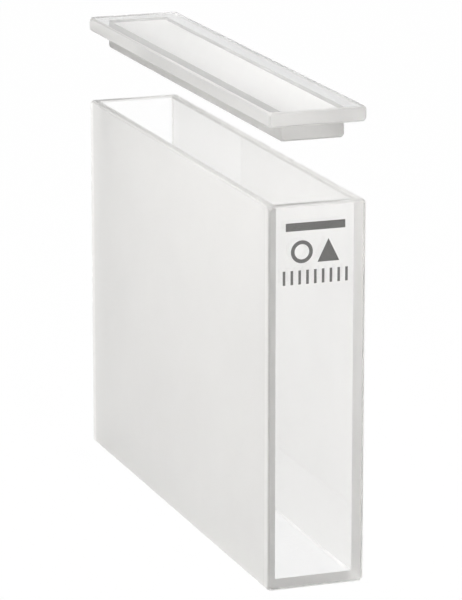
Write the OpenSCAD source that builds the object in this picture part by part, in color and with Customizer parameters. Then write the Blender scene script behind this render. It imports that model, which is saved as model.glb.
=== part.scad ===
// Rectangular glass cell with a stepped lid.
// The cell is five flat plates fused edge to edge and then ground as one block:
// two polished windows across the ends, two ground side walls between them, and
// a floor plate between all four. The lid is a cover plate with a smaller plug
// plate under it, which drops into the mouth with play all round.
// The light path runs along Y, the width along X, and the mouth opens towards +Z.
// The origin is at the middle of the face that the cell stands on.

/* [Inside of the cell] */
// Light path: clear distance between the two windows
path_length = 100; // [10:1:200]
// Clear width between the two side walls
inner_width = 15; // [8:0.5:60]
// Clear depth from the rim to the floor
inner_depth = 70; // [20:1:150]

/* [Plates] */
// Thickness of each polished window
window_t = 2; // [1:0.1:5]
// Thickness of each ground side wall
wall_t = 1.8; // [1:0.1:5]
// Thickness of the floor plate
base_t = 1.8; // [1:0.1:5]

/* [Edges] */
// Width that each bevel takes off the two faces beside an edge
edge_bevel = 0.3; // [0.1:0.05:0.4]
// Length that each broken corner takes off the three edges that meet there
corner_cut = 0.95; // [0.75:0.05:1.5]

/* [Lid] */
// Thickness of the cover plate
cover_t = 2.8; // [1.5:0.1:6]
// Depth that the plug reaches into the mouth
plug_depth = 3.2; // [1:0.1:8]
// Play between the plug and each side wall
plug_side_play = 1.4; // [0.2:0.1:2.5]
// Play between the plug and each window
plug_end_play = 0.7; // [0.2:0.1:2.5]
// Height at which the lid is held above its seat on the rim
lid_lift = 14.3; // [0:0.1:40]

/* [Hidden] */
// Outline of the whole block
cell_length = path_length + 2 * window_t;
cell_width = inner_width + 2 * wall_t;
cell_height = inner_depth + base_t;
// Outline of the plug
plug_length = path_length - 2 * plug_end_play;
plug_width = inner_width - 2 * plug_side_play;
// Distance along the diagonal from a corner to the plane that breaks it
cut_reach = corner_cut / sqrt(3);
// Tilt that turns +Z to the diagonal of a corner
corner_tilt = atan(sqrt(2));
// Overshoot of a cutting shape past the face that it cuts
over = 1;
// Finishes
clear_glass = [0.92, 0.93, 0.93];
ground_glass = [0.86, 0.86, 0.85];

// Rectangle about the origin with its four corners bevelled
module bevelled_outline(wide, high) {
    x = wide / 2;
    y = high / 2;
    b = edge_bevel;
    polygon([[x - b, -y], [x, b - y], [x, y - b], [x - b, y], [b - x, y], [-x, y - b], [-x, b - y], [b - x, -y]]);
}

// Outline extruded about the origin, along Z
module bar(wide, high, long) {
    translate([0, 0, -long / 2])
        linear_extrude(height = long)
            bevelled_outline(wide, high);
}

// Block about the origin with all twelve edges bevelled
module bevelled_block(size) {
    intersection() {
        bar(size.x, size.y, size.z);
        rotate([90, 0, 0]) bar(size.x, size.z, size.y);
        rotate([90, 0, 90]) bar(size.y, size.z, size.x);
    }
}

// Shape that breaks the corner of a block in the direction of side
module corner_breaker(size, side) {
    translate([side.x * size.x / 2, side.y * size.y / 2, side.z * size.z / 2])
        rotate([0, side.z > 0 ? corner_tilt : 180 - corner_tilt, atan2(side.y, side.x)])
            translate([-corner_cut * 2, -corner_cut * 2, -cut_reach])
                cube([corner_cut * 4, corner_cut * 4, over + cut_reach]);
}

// Block about the origin, ground all over: edges bevelled, corners broken
module ground_block(size) {
    difference() {
        bevelled_block(size);
        for (x = [-1, 1], y = [-1, 1], z = [-1, 1])
            corner_breaker(size, [x, y, z]);
    }
}

// Outside of the fused cell
module cell_envelope() {
    translate([0, 0, cell_height / 2])
        ground_block([cell_width, cell_length, cell_height]);
}

// Profile of the bevel round the mouth, for an opening of the given width
module mouth_profile(wide) {
    low = wide / 2 - over;
    high = wide / 2 + edge_bevel + over;
    polygon([[-low, -edge_bevel - over], [low, -edge_bevel - over], [high, over], [-high, over]]);
}

// Cutter that bevels the inner edge of the rim
module mouth_bevel() {
    translate([0, 0, cell_height])
        intersection() {
            rotate([90, 0, 0])
                translate([0, 0, -cell_length])
                    linear_extrude(height = 2 * cell_length)
                        mouth_profile(inner_width);
            rotate([90, 0, 90])
                translate([0, 0, -cell_width])
                    linear_extrude(height = 2 * cell_width)
                        mouth_profile(path_length);
        }
}

// One plate of the cell, from its lowest corner, ground to the shape of the whole
module cell_plate(low, size) {
    difference() {
        intersection() {
            translate(low) cube(size);
            cell_envelope();
        }
        mouth_bevel();
    }
}

// Window across one end: side is -1 for the front and 1 for the back
module window(side) {
    cell_plate(
        [-cell_width / 2, side < 0 ? -cell_length / 2 : path_length / 2, 0],
        [cell_width, window_t, cell_height]
    );
}

// Side wall between the windows: side is -1 for the left and 1 for the right
module side_wall(side) {
    cell_plate(
        [side < 0 ? -cell_width / 2 : inner_width / 2, -path_length / 2, 0],
        [wall_t, path_length, cell_height]
    );
}

module front_window() {
    color(clear_glass) window(-1);
}

module back_window() {
    color(clear_glass) window(1);
}

module left_wall() {
    color(ground_glass) side_wall(-1);
}

module right_wall() {
    color(ground_glass) side_wall(1);
}

module base_plate() {
    color(clear_glass)
        cell_plate([-inner_width / 2, -path_length / 2, 0], [inner_width, path_length, base_t]);
}

// Cover plate, as large as the cell's outline
module lid_cover() {
    color(clear_glass)
        translate([0, 0, cell_height + lid_lift + cover_t / 2])
            ground_block([cell_width, cell_length, cover_t]);
}

// Plug plate under the cover, with its lower edges bevelled
module lid_plug() {
    top = cell_height + lid_lift;
    color(ground_glass)
        intersection() {
            translate([0, 0, top])
                ground_block([plug_width, plug_length, 2 * plug_depth]);
            translate([-plug_width, -plug_length, top - plug_depth])
                cube([2 * plug_width, 2 * plug_length, plug_depth]);
        }
}

front_window();
back_window();
left_wall();
right_wall();
base_plate();
lid_cover();
lid_plug();
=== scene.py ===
import math

import bmesh
import bpy
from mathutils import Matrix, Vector


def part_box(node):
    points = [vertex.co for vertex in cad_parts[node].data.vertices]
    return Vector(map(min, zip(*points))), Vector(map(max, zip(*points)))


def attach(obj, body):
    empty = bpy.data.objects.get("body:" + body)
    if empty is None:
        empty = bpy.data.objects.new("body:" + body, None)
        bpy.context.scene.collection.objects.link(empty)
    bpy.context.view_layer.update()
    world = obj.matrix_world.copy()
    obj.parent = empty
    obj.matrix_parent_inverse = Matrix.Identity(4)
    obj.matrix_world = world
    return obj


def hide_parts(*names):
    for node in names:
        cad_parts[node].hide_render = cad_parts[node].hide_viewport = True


# A rectangular cell for long light paths and its loose lid, put together from plates of fused quartz.
# Each plate is a piece of its own, and each of its sides gets the finish that it was given in the making.

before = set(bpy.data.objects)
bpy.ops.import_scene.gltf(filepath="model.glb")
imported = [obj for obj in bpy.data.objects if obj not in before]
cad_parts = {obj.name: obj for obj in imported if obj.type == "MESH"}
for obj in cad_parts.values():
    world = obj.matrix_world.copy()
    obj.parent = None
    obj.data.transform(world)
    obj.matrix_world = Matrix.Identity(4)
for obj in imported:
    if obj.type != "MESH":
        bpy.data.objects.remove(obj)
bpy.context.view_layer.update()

MM = 0.001

# Fused joints: a plate reaches this far into the one it is fused to, so that no air gap is left between them
FUSED_DEPTH = 0.02 * MM
# A point closer than this to the end of a plate lies on its end face
END_TOLERANCE = FUSED_DEPTH / 4
# Points of a plate closer than this are one point, and faces that turn by less than this are one face
WELD_DISTANCE = 0.001 * MM
FLAT_ANGLE = math.radians(0.5)
# A face looks along an axis where this much of its normal lies along it, and is upright where less than
# UPRIGHT of its normal lies along Z
ALONG_AXIS = 0.99
UPRIGHT = 0.1
# The table top lies this far below the cell, as a film of air does
TABLE_GAP = 0.05 * MM

# The marking on the front window: how deep the ink is fired in, and how far its middle lies from the mouth
# and from the middle of the window
INK_DEPTH = 0.02 * MM
MARK_DROP = 11.5 * MM
MARK_SHIFT = -0.4 * MM
# Its figures in mm from its own middle: places as (x, z), and sizes as (width, height)
BAR_PLACE = (0, 7.5)
BAR_SIZE = (11.4, 1.5)
RING_PLACE = (-2.6, 2.9)
RING_RADII = (2.1, 1.4)
ARROW_PLACE = (2.5, 2.9)
ARROW_HEIGHT = 4.2
TICKS_EACH_WAY = 4
TICK_PITCH = 1.5
TICK_DROP = -1.8
TICK_SIZE = (0.5, 2.6)
CIRCLE_POINTS = 48

# Optics of fused quartz
QUARTZ_IOR = 1.458
# Share of a lamp's light that crosses a surface in a straight line. Without it, clear glass would cast
# a shadow as dark as a solid's
POLISHED_PASSES = 0.96
GROUND_PASSES = 0.7
# Waves that polishing leaves: a few mm long and very low
WAVE_LENGTH = 9 * MM
WAVE_HEIGHT = 0.01 * MM
WAVE_STRENGTH = 0.05
# Ground faces are a little uneven in tone, over areas of about this size
MOTTLE_SIZE = 18 * MM
# The pits of ground quartz are 0.02 to 0.05 mm wide, too fine to show, so they are drawn much coarser
GRIT_SIZE = 0.5 * MM
GRIT_DEPTH = 0.02 * MM
# Screen printed ink is uneven at the size of the mesh it was pressed through, here drawn a few threads wide
INK_GRAIN = 0.4 * MM

# Camera: degrees round the cell from its front and above its level, distance, focal length in mm and aim
CAMERA_AZIMUTH = -19.86
CAMERA_ELEVATION = 14.28
CAMERA_DISTANCE = 725.2 * MM
CAMERA_LENS = 225.3
CAMERA_AIM = Vector((2.17, -0.38, 41.5)) * MM

# Studio
WORLD_LIGHT = 0.8
# The backdrop fades into the room between these heights above the horizon, in degrees
BACKDROP_TOP = (6, 13)
ROOM_LIGHT = 0.5
TABLE_COLOUR = "#FAFAFA"
TABLE_WHITE_SHARE = 0.97
TABLE_RADIUS = 3.0
TABLE_SEGMENTS = 96

# The sides of a plate as (axis, direction)
SIDES = {
    "left": (0, -1),
    "right": (0, 1),
    "front": (1, -1),
    "back": (1, 1),
    "bottom": (2, -1),
    "top": (2, 1),
}

# Pieces that some of the lamps are kept to
CELL_BEHIND_FRONT = ("side_plate_left", "side_plate_right", "window_plate_back", "floor_plate")
LID = ("cover_plate", "plug_plate")


def linear(colour):
    """Linear RGBA of an sRGB hex colour."""
    channels = [int(colour[i : i + 2], 16) / 255 for i in (1, 3, 5)]
    return [c / 12.92 if c <= 0.04045 else ((c + 0.055) / 1.055) ** 2.4 for c in channels] + [1]


def add(tree, kind, inputs=None, **settings):
    """Adds a node: settings are its properties, and inputs are values to set or outputs to link."""
    node = tree.nodes.new(kind)
    for name, value in settings.items():
        setattr(node, name, value)
    for name, value in (inputs or {}).items():
        if isinstance(value, bpy.types.NodeSocket):
            tree.links.new(value, node.inputs[name])
        else:
            node.inputs[name].default_value = value
    return node


def new_material(name):
    """An empty node material and its tree."""
    material = bpy.data.materials.new(name)
    material.use_nodes = True
    material.node_tree.nodes.clear()
    return material, material.node_tree


def let_lamps_through(tree, body, share):
    """Ends the tree with body, which lets this share of the light from lamps pass straight on."""
    path = add(tree, "ShaderNodeLightPath")
    passed = add(tree, "ShaderNodeMath", {0: path.outputs["Is Shadow Ray"], 1: share}, operation="MULTIPLY")
    clear = add(tree, "ShaderNodeBsdfTransparent")
    mix = add(
        tree,
        "ShaderNodeMixShader",
        {"Fac": passed.outputs[0], 1: body.outputs[0], 2: clear.outputs[0]},
    )
    add(tree, "ShaderNodeOutputMaterial", {"Surface": mix.outputs[0]})


def polished_quartz():
    """Fused quartz, optically polished: clear and colourless, with only a trace of waviness."""
    material, tree = new_material("fused_quartz_polished")
    place = add(tree, "ShaderNodeTexCoord")
    waves = add(
        tree,
        "ShaderNodeTexNoise",
        {"Vector": place.outputs["Object"], "Scale": 1 / WAVE_LENGTH, "Detail": 1.0},
    )
    bump = add(
        tree,
        "ShaderNodeBump",
        {"Height": waves.outputs["Fac"], "Strength": WAVE_STRENGTH, "Distance": WAVE_HEIGHT},
    )
    body = add(
        tree,
        "ShaderNodeBsdfPrincipled",
        {
            "Base Color": linear("#FFFFFF"),
            "Roughness": 0.0,
            "IOR": QUARTZ_IOR,
            "Transmission Weight": 1.0,
            "Normal": bump.outputs["Normal"],
        },
    )
    let_lamps_through(tree, body, POLISHED_PASSES)
    return material


def ground_quartz(name, light, dark, clearness, roughness, relief):
    """Fused quartz ground with loose grit: pale, matt and translucent, with a faint mottle.
    clearness is the share of light that goes through, and relief is how strongly the grit shows."""
    material, tree = new_material(name)
    place = add(tree, "ShaderNodeTexCoord")
    mottle = add(
        tree,
        "ShaderNodeTexNoise",
        {"Vector": place.outputs["Object"], "Scale": 1 / MOTTLE_SIZE, "Detail": 5.0, "Roughness": 0.55},
    )
    tone = add(
        tree,
        "ShaderNodeMix",
        {"Factor": mottle.outputs["Fac"], "A": linear(dark), "B": linear(light)},
        data_type="RGBA",
    )
    grit = add(
        tree,
        "ShaderNodeTexNoise",
        {"Vector": place.outputs["Object"], "Scale": 1 / GRIT_SIZE, "Detail": 2.0},
    )
    bump = add(
        tree,
        "ShaderNodeBump",
        {"Height": grit.outputs["Fac"], "Strength": relief, "Distance": GRIT_DEPTH},
    )
    body = add(
        tree,
        "ShaderNodeBsdfPrincipled",
        {
            "Base Color": tone.outputs[2],
            "Roughness": roughness,
            "IOR": QUARTZ_IOR,
            "Transmission Weight": clearness,
            "Normal": bump.outputs["Normal"],
        },
    )
    let_lamps_through(tree, body, GROUND_PASSES)
    return material


# Windows, floor and insides of the walls, polished on a pitch lap: clear, with a faint mirror shine
POLISHED = polished_quartz()
# Outsides of the walls, ground with loose grit: an even white frost that hides what lies behind
GROUND = ground_quartz(
    "fused_quartz_grit_ground",
    light="#FBFAF8",
    dark="#F1F0EE",
    clearness=0.75,
    roughness=0.55,
    relief=0.3,
)
# Edges of the window plates and the underside, ground fine: silky, and grey where the glass is seen edge on
EDGE = ground_quartz(
    "fused_quartz_edge_ground",
    light="#FFFEFC",
    dark="#FCFBF9",
    clearness=0.72,
    roughness=0.3,
    relief=0.05,
)
# Rim round the mouth, ground flat after fusing so that the lid sits tight: a soft pale frame
RIM = ground_quartz(
    "fused_quartz_rim_ground",
    light="#FFFEFC",
    dark="#FAF9F7",
    clearness=0.77,
    roughness=0.32,
    relief=0.05,
)
# Long outer bevels, ground on a wheel and painted grey: a thin line of painted shade along each edge
SHADED_BEVEL = ground_quartz(
    "fused_quartz_bevel_ground_painted_shade",
    light="#E4E3E1",
    dark="#DDDCDA",
    clearness=0.55,
    roughness=0.4,
    relief=0.05,
)
# Broken corners and the bevel inside the mouth, touched on the same wheel: clearer than the long bevels, and
# painted grey as painted shade along the edges
SHADED_NARROW_BEVEL = ground_quartz(
    "fused_quartz_narrow_bevel_painted_shade",
    light="#E0DFDD",
    dark="#D8D7D5",
    clearness=0.88,
    roughness=0.35,
    relief=0.05,
)
# Ends of the walls and floor, melted onto the windows: a see-through joint that dims the glass a little
SEAM = ground_quartz(
    "fused_quartz_seam",
    light="#EAE9E7",
    dark="#E4E3E1",
    clearness=1.0,
    roughness=0.4,
    relief=0.05,
)
# Sides of the lid's cover, ground with loose grit: frosted, and lit up by what passes through the clear top
COVER_SIDE = ground_quartz(
    "fused_quartz_cover_side_ground",
    light="#F5F4F2",
    dark="#EFEEEC",
    clearness=0.86,
    roughness=0.5,
    relief=0.3,
)
# Bevels and corners of the cover, ground on a wheel: smooth, and painted a darker grey than the sides as
# painted shade that offsets the extra lamp light they face, so that no line stands out
SHADED_COVER_BEVEL = ground_quartz(
    "fused_quartz_cover_bevel_painted_shade",
    light="#D6D5D3",
    dark="#CFCECC",
    clearness=0.5,
    roughness=0.4,
    relief=0.0,
)
# Long sides of the plug, ground with loose grit and painted mid grey as the shade under the cover: a dark
# stripe of painted shade as seen through the cover
SHADED_PLUG_SIDE = ground_quartz(
    "fused_quartz_plug_side_painted_shade",
    light="#AAA9A7",
    dark="#A1A09E",
    clearness=0.45,
    roughness=0.5,
    relief=0.3,
)
# Ends of the plug, ground the same way and painted grey as painted shade under the cover, lighter than the
# sides as they are seen through less glass
SHADED_PLUG_END = ground_quartz(
    "fused_quartz_plug_end_painted_shade",
    light="#BBBAB8",
    dark="#B2B1AF",
    clearness=0.4,
    roughness=0.5,
    relief=0.3,
)
# Underside of the plug, lapped flat: white and almost opaque, the pale middle of the lid
LAPPED = ground_quartz(
    "fused_quartz_lapped",
    light="#FFFEFC",
    dark="#FBFAF8",
    clearness=0.3,
    roughness=0.5,
    relief=0.3,
)
FINISHES = [
    POLISHED,
    GROUND,
    EDGE,
    RIM,
    SHADED_BEVEL,
    SHADED_NARROW_BEVEL,
    SEAM,
    COVER_SIDE,
    SHADED_COVER_BEVEL,
    SHADED_PLUG_SIDE,
    SHADED_PLUG_END,
    LAPPED,
]


def side_of(face):
    """Name of the side of a plate that a face lies on.
    A slanted face is a bevel, an upright one of them a corner, and one that faces inwards a mouth."""
    for name, (axis, way) in SIDES.items():
        if face.normal[axis] * way > ALONG_AXIS:
            return name
    if abs(face.normal.z) < UPRIGHT:
        return "corner"
    return "bevel" if face.normal.xy.dot(face.calc_center_median().xy) > 0 else "mouth"


def plate(name, node, body, finishes, fused=()):
    """A plate copied from its node.
    finishes names the finish of each side, and fused lists the sides that are fused on."""
    low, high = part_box(node)
    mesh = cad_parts[node].data.copy()
    mesh.materials.clear()
    for finish in FINISHES:
        mesh.materials.append(finish)
    shape = bmesh.new()
    shape.from_mesh(mesh)
    bmesh.ops.remove_doubles(shape, verts=shape.verts, dist=WELD_DISTANCE)
    bmesh.ops.dissolve_limit(shape, angle_limit=FLAT_ANGLE, verts=shape.verts, edges=shape.edges)
    for face in shape.faces:
        face.material_index = FINISHES.index(finishes[side_of(face)])
        face.smooth = False
    for side in fused:
        axis, way = SIDES[side]
        end = high[axis] if way > 0 else low[axis]
        for vertex in shape.verts:
            if abs(vertex.co[axis] - end) < END_TOLERANCE:
                vertex.co[axis] += way * FUSED_DEPTH
    shape.to_mesh(mesh)
    shape.free()
    piece = bpy.data.objects.new(name, mesh)
    bpy.context.scene.collection.objects.link(piece)
    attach(piece, body)
    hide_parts(node)


BEVELS = {"bevel": SHADED_BEVEL, "corner": SHADED_NARROW_BEVEL, "mouth": SHADED_NARROW_BEVEL}
WINDOW_FINISHES = {side: EDGE for side in SIDES} | {"front": POLISHED, "back": POLISHED, "top": RIM, **BEVELS}
WALL_FINISHES = {"front": SEAM, "back": SEAM, "top": RIM, "bottom": EDGE, **BEVELS}
LEFT_FINISHES = {**WALL_FINISHES, "left": GROUND, "right": POLISHED}
RIGHT_FINISHES = {**WALL_FINISHES, "left": POLISHED, "right": GROUND}
BASE_FINISHES = {side: POLISHED for side in SIDES} | {"front": SEAM, "back": SEAM, "bevel": POLISHED}
COVER_FINISHES = {side: COVER_SIDE for side in SIDES} | {
    "top": POLISHED,
    "bottom": POLISHED,
    "bevel": SHADED_COVER_BEVEL,
    "corner": SHADED_COVER_BEVEL,
}
PLUG_FINISHES = {
    "left": SHADED_PLUG_SIDE,
    "right": SHADED_PLUG_SIDE,
    "corner": SHADED_PLUG_SIDE,
    "front": SHADED_PLUG_END,
    "back": SHADED_PLUG_END,
    "bevel": SHADED_PLUG_END,
    "top": POLISHED,
    "bottom": LAPPED,
}

plate("window_plate_front", "front_window", "cell", WINDOW_FINISHES)
plate("window_plate_back", "back_window", "cell", WINDOW_FINISHES)
plate("side_plate_left", "left_wall", "cell", LEFT_FINISHES, ("front", "back"))
plate("side_plate_right", "right_wall", "cell", RIGHT_FINISHES, ("front", "back"))
plate(
    "floor_plate",
    "base_plate",
    "cell",
    BASE_FINISHES,
    ("left", "right", "front", "back"),
)
plate("cover_plate", "lid_cover", "lid", COVER_FINISHES)
plate("plug_plate", "lid_plug", "lid", PLUG_FINISHES, ("top",))


def fired_ink():
    """Grey marking ink, screen printed and fired on: matt, and thinner in places."""
    material, tree = new_material("marking_ink_fired")
    place = add(tree, "ShaderNodeTexCoord")
    cover = add(
        tree,
        "ShaderNodeTexNoise",
        {"Vector": place.outputs["Object"], "Scale": 1 / INK_GRAIN, "Detail": 3.0},
    )
    tone = add(
        tree,
        "ShaderNodeMix",
        {"Factor": cover.outputs["Fac"], "A": linear("#6E6D6B"), "B": linear("#858482")},
        data_type="RGBA",
    )
    body = add(tree, "ShaderNodeBsdfPrincipled", {"Base Color": tone.outputs[2], "Roughness": 0.7})
    add(tree, "ShaderNodeOutputMaterial", {"Surface": body.outputs[0]})
    return material


def circle_outline(x, z, radius):
    """Points of a circle from its middle and radius."""
    turns = [math.tau * i / CIRCLE_POINTS for i in range(CIRCLE_POINTS)]
    return [(x + radius * math.cos(turn), z + radius * math.sin(turn)) for turn in turns]


def bar_outline(x, z, wide, high):
    """Corners of an upright bar from its middle and size."""
    corners = ((-0.5, -0.5), (0.5, -0.5), (0.5, 0.5), (-0.5, 0.5))
    return [(x + wide * i, z + high * j) for i, j in corners]


def arrow_outline(x, z, size):
    """Corners of a solid triangle that points up, from its middle and height."""
    return [(x - size / 2, z - size / 2), (x + size / 2, z - size / 2), (x, z + size / 2)]


def make_marking():
    """Plain marks near the mouth of the front window.
    They are a bar, a ring, an arrow that points to the mouth, and ticks."""
    outlines = [bar_outline(*BAR_PLACE, *BAR_SIZE)]
    for radius in RING_RADII:
        outlines.append(circle_outline(*RING_PLACE, radius))
    outlines.append(arrow_outline(*ARROW_PLACE, ARROW_HEIGHT))
    for tick in range(-TICKS_EACH_WAY, TICKS_EACH_WAY + 1):
        outlines.append(bar_outline(TICK_PITCH * tick, TICK_DROP, *TICK_SIZE))
    ink = bpy.data.curves.new("window_marking", "CURVE")
    ink.dimensions = "2D"
    ink.fill_mode = "BOTH"
    ink.extrude = INK_DEPTH / 2
    for outline in outlines:
        spline = ink.splines.new("POLY")
        spline.points.add(len(outline) - 1)
        for point, (x, z) in zip(spline.points, outline):
            point.co = (x * MM, z * MM, 0, 1)
        spline.use_cyclic_u = True
    ink.materials.append(fired_ink())
    marking = bpy.data.objects.new("window_marking", ink)
    low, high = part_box("front_window")
    marking.location = ((low.x + high.x) / 2 + MARK_SHIFT, low.y + INK_DEPTH, high.z - MARK_DROP)
    marking.rotation_euler.x = math.radians(90)
    bpy.context.scene.collection.objects.link(marking)
    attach(marking, "cell")


def seen_white(tree):
    """A socket that is 1 for a ray from the camera that has met only gloss and glass.
    It is 0 past a matt surface, which is where the diffuse depth reaches 1."""
    path = add(tree, "ShaderNodeLightPath")
    direct = add(
        tree,
        "ShaderNodeMath",
        {0: path.outputs["Is Camera Ray"], 1: path.outputs["Is Glossy Ray"]},
        operation="ADD",
    )
    either = add(
        tree,
        "ShaderNodeMath",
        {0: direct.outputs[0], 1: path.outputs["Is Transmission Ray"]},
        operation="ADD",
        use_clamp=True,
    )
    unscattered = add(
        tree,
        "ShaderNodeMath",
        {0: path.outputs["Diffuse Depth"], 1: 0.5},
        operation="LESS_THAN",
    )
    both = add(
        tree,
        "ShaderNodeMath",
        {0: either.outputs[0], 1: unscattered.outputs[0]},
        operation="MULTIPLY",
    )
    return both.outputs[0]


def make_table():
    """White table top, which keeps a faint shadow."""
    material, tree = new_material("matt_white_laminate")
    diffuse = add(tree, "ShaderNodeBsdfDiffuse", {"Color": linear(TABLE_COLOUR)})
    white = add(tree, "ShaderNodeEmission", {"Color": linear("#FFFFFF"), "Strength": 1.0})
    share = add(tree, "ShaderNodeMath", {0: seen_white(tree), 1: TABLE_WHITE_SHARE}, operation="MULTIPLY")
    mix = add(
        tree,
        "ShaderNodeMixShader",
        {"Fac": share.outputs[0], 1: diffuse.outputs[0], 2: white.outputs[0]},
    )
    add(tree, "ShaderNodeOutputMaterial", {"Surface": mix.outputs[0]})
    mesh = bpy.data.meshes.new("table_top")
    shape = bmesh.new()
    bmesh.ops.create_circle(shape, cap_ends=True, segments=TABLE_SEGMENTS, radius=TABLE_RADIUS)
    shape.to_mesh(mesh)
    shape.free()
    mesh.materials.append(material)
    table = bpy.data.objects.new("table_top", mesh)
    table.location.z = -TABLE_GAP
    bpy.context.scene.collection.objects.link(table)


def make_world():
    """White surround up to the height of a low backdrop, and a greyer room above it.
    Matt surfaces are lit by one even level instead."""
    world = bpy.data.worlds.new("white_surround")
    world.use_nodes = True
    tree = world.node_tree
    tree.nodes.clear()
    way = add(tree, "ShaderNodeTexCoord")
    height = add(tree, "ShaderNodeSeparateXYZ", {"Vector": way.outputs["Generated"]})
    room = add(
        tree,
        "ShaderNodeMapRange",
        {
            "Value": height.outputs["Z"],
            "From Min": math.sin(math.radians(BACKDROP_TOP[0])),
            "From Max": math.sin(math.radians(BACKDROP_TOP[1])),
            "To Min": 1.0,
            "To Max": ROOM_LIGHT,
        },
        interpolation_type="SMOOTHSTEP",
    )
    strength = add(
        tree,
        "ShaderNodeMapRange",
        {"Value": seen_white(tree), "To Min": WORLD_LIGHT, "To Max": room.outputs[0]},
    )
    light = add(tree, "ShaderNodeBackground", {"Color": linear("#FFFFFF"), "Strength": strength.outputs[0]})
    add(tree, "ShaderNodeOutputWorld", {"Surface": light.outputs[0]})
    # Only a ray that gets to the world by itself knows what it has met, so it isn't sampled like a lamp
    world.cycles.sampling_method = "NONE"
    bpy.context.scene.world = world


def area_lamp(name, place, aim, size, share, lit=()):
    """A square soft lamp. share is how much it adds to a matt white surface that faces it at aim.
    lit names the pieces that it lights, and the lamp lights everything where it is empty."""
    place = Vector(place)
    way = Vector(aim) - place
    data = bpy.data.lights.new(name, "AREA")
    data.shape = "SQUARE"
    data.size = size
    data.energy = share * math.pi**2 * way.length_squared
    # The lamp itself then doesn't show as a bright square in the glass
    data.cycles.use_multiple_importance_sampling = False
    lamp = bpy.data.objects.new(name, data)
    lamp.location = place
    lamp.rotation_euler = way.to_track_quat("-Z", "Y").to_euler()
    bpy.context.scene.collection.objects.link(lamp)
    if lit:
        pieces = bpy.data.collections.new(name)
        for piece in lit:
            pieces.objects.link(bpy.data.objects[piece])
        lamp.light_linking.receiver_collection = pieces


def make_lamps():
    """Two soft boxes for everything, a near lamp for the glow on the left wall, and two lamps for the lid."""
    area_lamp("softbox_left", place=(-0.26, -0.20, 0.24), aim=(0, -0.01, 0.05), size=0.2, share=0.40)
    area_lamp("softbox_top", place=(0.1, 0.1, 0.9), aim=(0, 0, 0.08), size=0.7, share=0.11)
    # Close to the wall, so it is kept off the lid and the front window, which it would shine through
    area_lamp(
        "lamp_left",
        place=(-0.075, -0.02, 0.11),
        aim=(-0.009, -0.018, 0.064),
        size=0.03,
        share=0.60,
        lit=CELL_BEHIND_FRONT,
    )
    area_lamp(
        "softbox_lid",
        place=(-0.16, -0.09, 0.20),
        aim=(0, -0.02, 0.087),
        size=0.08,
        share=0.20,
        lit=LID,
    )
    area_lamp(
        "lamp_above",
        place=(-0.012, -0.01, 0.13),
        aim=(0, -0.01, 0.087),
        size=0.03,
        share=0.14,
        lit=LID,
    )


def make_camera():
    """Long lens that looks a little down on the cell, from the front and its left."""
    azimuth = math.radians(CAMERA_AZIMUTH)
    elevation = math.radians(CAMERA_ELEVATION)
    back = Vector(
        (
            math.sin(azimuth) * math.cos(elevation),
            -math.cos(azimuth) * math.cos(elevation),
            math.sin(elevation),
        )
    )
    data = bpy.data.cameras.new("long_lens")
    data.lens = CAMERA_LENS
    camera = bpy.data.objects.new("camera", data)
    camera.location = CAMERA_AIM + back * CAMERA_DISTANCE
    camera.rotation_euler = (-back).to_track_quat("-Z", "Y").to_euler()
    bpy.context.scene.collection.objects.link(camera)
    bpy.context.scene.camera = camera


make_marking()
make_table()
make_world()
make_lamps()
make_camera()
bpy.context.scene.view_settings.view_transform = "Standard"

# Light crosses many faces here and is thrown back and forth inside the plates, so it is followed far
light_paths = bpy.context.scene.cycles
light_paths.max_bounces = 32
light_paths.diffuse_bounces = 8
light_paths.glossy_bounces = 16
light_paths.transmission_bounces = 32
